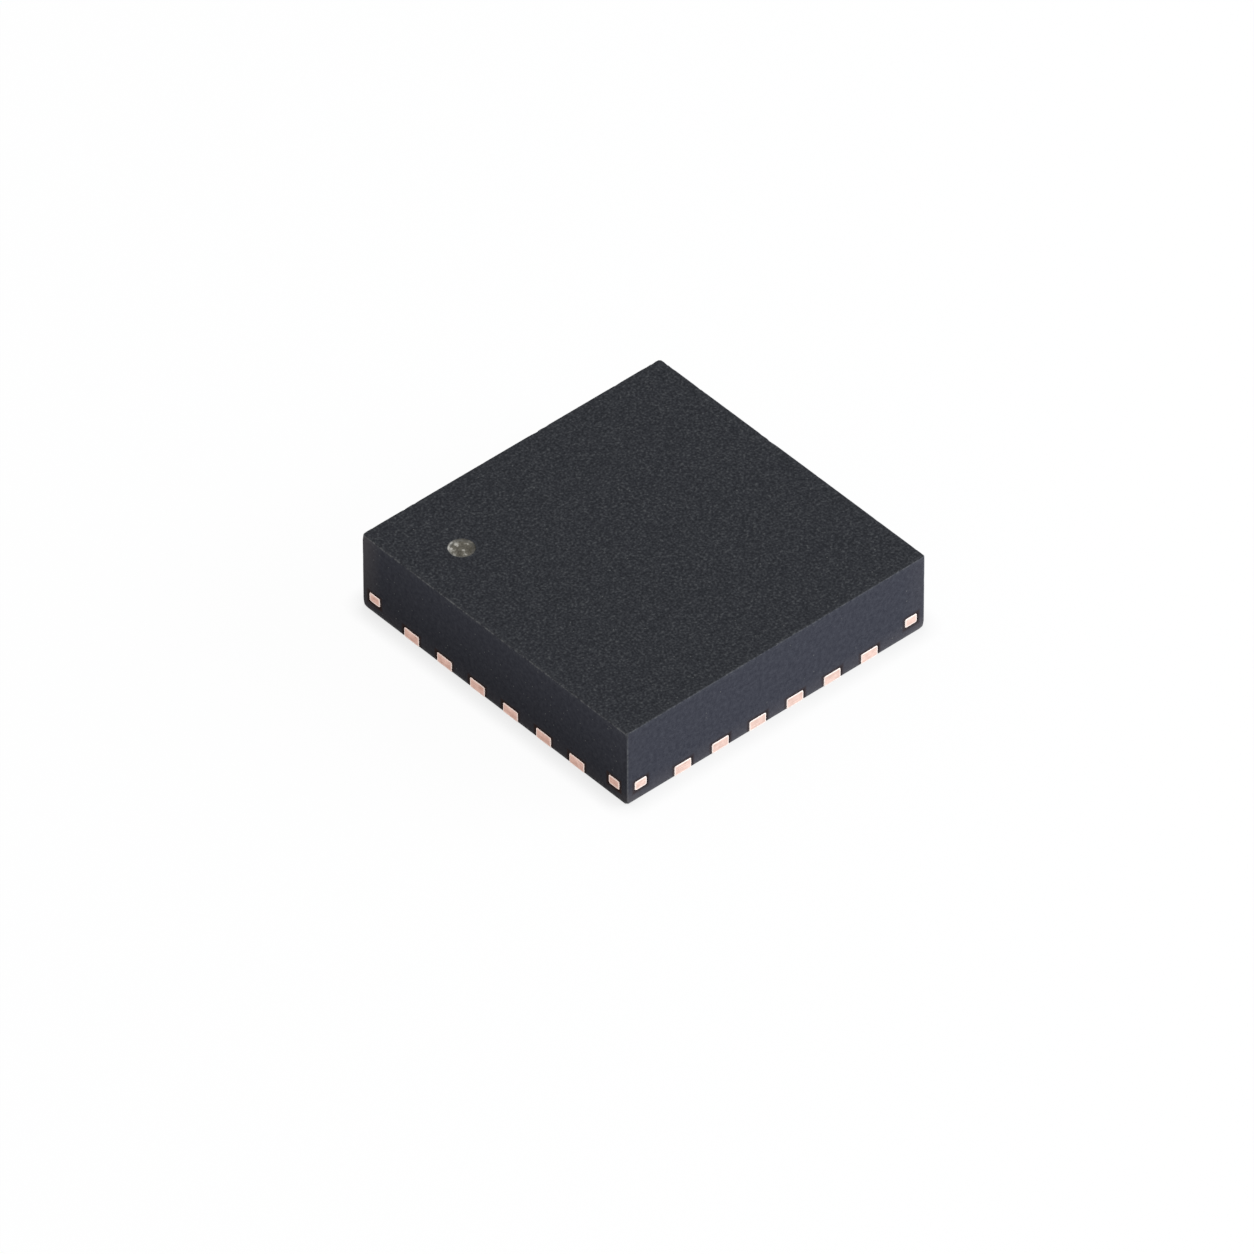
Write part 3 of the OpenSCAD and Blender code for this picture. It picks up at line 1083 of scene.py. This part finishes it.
hidden = {
    "silicon_die": silicon_finish(),
    "die_attach": speckled_finish(
        "silver_paste", 40, (0.44, 0.45, 0.46), (0.62, 0.63, 0.64), metallic=0.6, rough=0.5,
    ),
}
for name, finish in hidden.items():
    nodes[name].data.materials.clear()
    nodes[name].data.materials.append(finish)
gold = speckled_finish(
    "bond_gold", 60, (0.78, 0.53, 0.20), (0.86, 0.62, 0.27), metallic=1.0, rough=0.2,
)
for piece in gold_wires:
    piece.data.materials.append(gold)
print("finishes inside:", [finish.name for finish in hidden.values()], gold.name)


# %% [markdown]
# ## Stage
# ### Camera
# The picture shows almost no perspective, as with a long lens from far away. A camera could be
# aimed by eye, but then the edges would never quite lie over each other. So this one is placed by
# two angles, a roll and a scale that were fitted to the block's edges, and moved sideways until
# the middle of the block falls on its own pixel.

# %% Camera
VIEW_AZIMUTH = -41.49
VIEW_ELEVATION = 42.12
VIEW_ROLL = -0.12
VIEW_DISTANCE = 200.0
PIXELS_PER_MM = 99.78
PICTURE_SIDE = 1254
AIM = Vector((0, 0, 0.465))
AIM_PIXEL = (643.44, 580.88)
SENSOR = 36

azimuth = math.radians(VIEW_AZIMUTH)
elevation = math.radians(VIEW_ELEVATION)
level = Vector((math.sin(azimuth), -math.cos(azimuth), 0))
back = level * math.cos(elevation) + Vector((0, 0, math.sin(elevation)))
roll = Matrix.Rotation(math.radians(VIEW_ROLL), 3, back)
right = roll @ Vector((math.cos(azimuth), math.sin(azimuth), 0))
up = back.cross(right)
aside = (AIM_PIXEL[0] - PICTURE_SIDE / 2) / PIXELS_PER_MM
below = (AIM_PIXEL[1] - PICTURE_SIDE / 2) / PIXELS_PER_MM
eye = AIM - right * aside + up * below + back * VIEW_DISTANCE

camera = add_object("camera", bpy.data.cameras.new("camera"))
camera.matrix_world = Matrix.Translation(eye * MM) @ Matrix((right, up, back)).transposed().to_4x4()
camera.data.sensor_width = SENSOR
camera.data.lens = SENSOR * PIXELS_PER_MM * VIEW_DISTANCE / PICTURE_SIDE
camera.data.clip_start = 0.001
camera.data.clip_end = 10
bpy.context.scene.camera = camera
print("camera lens:", round(camera.data.lens, 1), "mm")


# %% [markdown]
# ### Table
# The chip lies on a plain white table. The table is white to the camera and keeps the chip's
# shadow, which in even light is only a narrow dark line where the block meets the table. A plain
# matt card would turn grey wherever the light falls off, so the eye is shown a white glow, and the
# card does its work only for the light that it throws up at the block. Seen from underneath the
# table is clear, so that the underside can be looked at too.

# %% What the table shows
TABLE_GLOW = 0.96
SHADE_REACH = 0.24
SHADE_DEPTH = 0.20
LIT_SHADE_DEPTH = 0.11
SHADE_FULL = 0.5
TURN_OVER = 0.3


def seen_rays(tree):
    """One for rays that show the stage as a picture: from the camera, mirrored or passed through."""
    path = tree.nodes.new("ShaderNodeLightPath")
    seen = calc(tree, "MAXIMUM", path.outputs["Is Camera Ray"], path.outputs["Is Glossy Ray"])
    return calc(tree, "MAXIMUM", seen, path.outputs["Is Transmission Ray"])


def shaded_glow(tree, axes):
    """A white glow, less a shade where little of the sky is open. The shade is weaker on the lamp's
    side, where X less Y is above zero."""
    near = add_node(tree, "ShaderNodeAmbientOcclusion", {"Distance": SHADE_REACH * MM}, samples=4)
    lamp_side = calc(tree, "SUBTRACT", axes["X"], axes["Y"])
    depth = spread(tree, lamp_side, -TURN_OVER * MM, TURN_OVER * MM, SHADE_DEPTH, LIT_SHADE_DEPTH)
    shade = calc(tree, "MULTIPLY", depth, spread(tree, near.outputs["AO"], 1.0, SHADE_FULL))
    return add_node(tree, "ShaderNodeEmission", {"Strength": calc(tree, "SUBTRACT", TABLE_GLOW, shade)})


def under_block(tree, axes):
    """One under the block, for all rays but the camera's: where the larger of X and Y, without signs, is
    less than half a side."""
    off_x = calc(tree, "ABSOLUTE", axes["X"], 0)
    off_y = calc(tree, "ABSOLUTE", axes["Y"], 0)
    covered = calc(tree, "LESS_THAN", calc(tree, "MAXIMUM", off_x, off_y), half_side * MM)
    by_eye = tree.nodes.new("ShaderNodeLightPath").outputs["Is Camera Ray"]
    return calc(tree, "MULTIPLY", covered, calc(tree, "SUBTRACT", 1, by_eye))


print("the table's shade reaches", SHADE_REACH, "from the block")

# %% Table
TABLE_WHITE = 0.75
TABLE_MATT = 0.04
TABLE_LINES = np.array([10.0, 100.0, 400.0])
TABLE_LEVEL = -0.001


def mix_shaders(tree, share, a, b):
    """Shader a, with a share of shader b in its place."""
    inputs = {0: share, 1: a.outputs[0], 2: b.outputs[0]}
    return add_node(tree, "ShaderNodeMixShader", inputs)


def table_finish():
    """White card that lights the block from below, and to the eye a white glow that is darker close to
    what stands on it. It is clear from underneath, and under the block it is clear to all but the eye,
    so that the underside gets light."""
    finish = bpy.data.materials.new("white_table")
    finish.use_nodes = True
    tree = finish.node_tree
    tree.nodes.clear()
    place = tree.nodes.new("ShaderNodeTexCoord").outputs["Object"]
    axes = add_node(tree, "ShaderNodeSeparateXYZ", {"Vector": place}).outputs
    card = add_node(tree, "ShaderNodeBsdfDiffuse", {"Color": (TABLE_WHITE,) * 3})
    matt = add_node(tree, "ShaderNodeBsdfDiffuse", {"Color": (TABLE_MATT,) * 3})
    glow = shaded_glow(tree, axes)
    eye_sees = add_node(tree, "ShaderNodeAddShader", {0: matt.outputs[0], 1: glow.outputs[0]})
    both = mix_shaders(tree, seen_rays(tree), card, eye_sees)
    clear = tree.nodes.new("ShaderNodeBsdfTransparent")
    underneath = tree.nodes.new("ShaderNodeNewGeometry").outputs["Backfacing"]
    see_through = calc(tree, "MAXIMUM", underneath, under_block(tree, axes))
    shown = mix_shaders(tree, see_through, both, clear)
    out = tree.nodes.new("ShaderNodeOutputMaterial")
    tree.links.new(shown.outputs[0], out.inputs["Surface"])
    return finish


lines = np.sort(both_ways(TABLE_LINES))
table_x, table_y = np.meshgrid(lines, lines, indexing="ij")
table_points = np.stack([table_x, table_y, np.full_like(table_x, TABLE_LEVEL)], -1)
table_faces = grid_faces(np.arange(table_x.size).reshape(table_x.shape))
table = make_piece("table", table_points.reshape(-1, 3), [table_faces], False)
table.data.materials.append(table_finish())
print("table:", len(table.data.polygons), "faces,", 2 * lines.max(), "wide")


# %% [markdown]
# ### Light
# The light is soft: an even sky, and one broad, low lamp on the right that picks out that side.
# More lamps could be set up, but on a matte block they would only blur the step in tone between
# its two visible sides. The lamp's power is its level times pi squared times the square of its
# distance, which lights a white card that faces it to that level.

# %% Light
SKY = 0.65
LAMP = 1.45
LAMP_TOWARDS = (0.745, -0.645, 0.25)
LAMP_DISTANCE = 60
LAMP_SIZE = 45
LAMP_COLOUR = (0.88, 0.93, 1.0)

world = bpy.data.worlds.new("sky")
bpy.context.scene.world = world
world.use_nodes = True
sky_tree = world.node_tree
sky = sky_tree.nodes["Background"]
put(sky_tree, sky.inputs["Color"], (1.0, 1.0, 1.0))
put(sky_tree, sky.inputs["Strength"], spread(sky_tree, seen_rays(sky_tree), 0, 1, SKY, 1.0))

lamp = bpy.data.lights.new("side_lamp", "AREA")
lamp.size = LAMP_SIZE * MM
lamp.energy = LAMP * math.pi ** 2 * (LAMP_DISTANCE * MM) ** 2
lamp.color = LAMP_COLOUR
lamp_holder = add_object("side_lamp", lamp)
direction = Vector(LAMP_TOWARDS).normalized()
lamp_turn = direction.to_track_quat("Z", "Y").to_matrix().to_4x4()
lamp_holder.matrix_world = Matrix.Translation(direction * LAMP_DISTANCE * MM) @ lamp_turn
bpy.context.scene.view_settings.view_transform = "Standard"
print("light: sky", SKY, "and a lamp of", LAMP)
